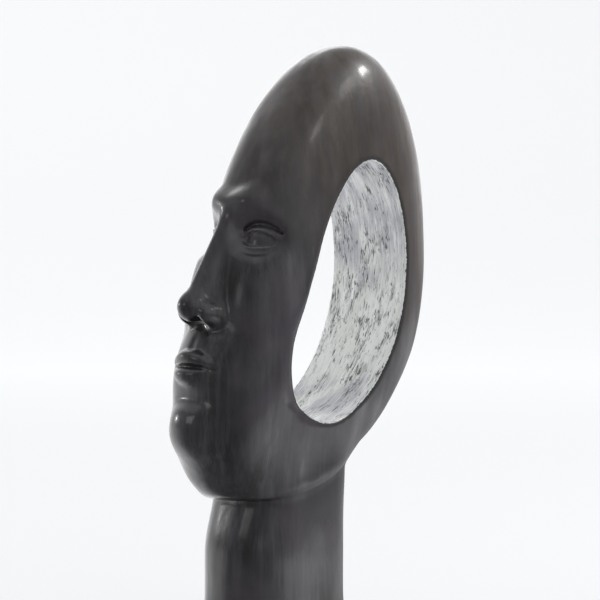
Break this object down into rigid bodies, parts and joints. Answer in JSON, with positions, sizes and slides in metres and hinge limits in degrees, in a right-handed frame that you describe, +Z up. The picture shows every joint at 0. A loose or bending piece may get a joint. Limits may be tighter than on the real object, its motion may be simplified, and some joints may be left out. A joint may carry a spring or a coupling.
{
  "type": "carved head statuette",
  "caption": "Carved wooden head and neck leaning back, with a calm face and an oval opening through the head behind it.",
  "frame": {"origin": "centre of the flat underside of the neck, on the surface that it stands on", "axes": "+Z up, -Y the way the face looks, +X the figure's left; the form is the same on both sides of x = 0"},
  "size_m": [0.088, 0.1829, 0.3611],
  "materials": {
    "stained_wood": "satin"
  },
  "bodies": {
    "root": {"carved_head": "stained_wood"}
  },
  "joints": []
}
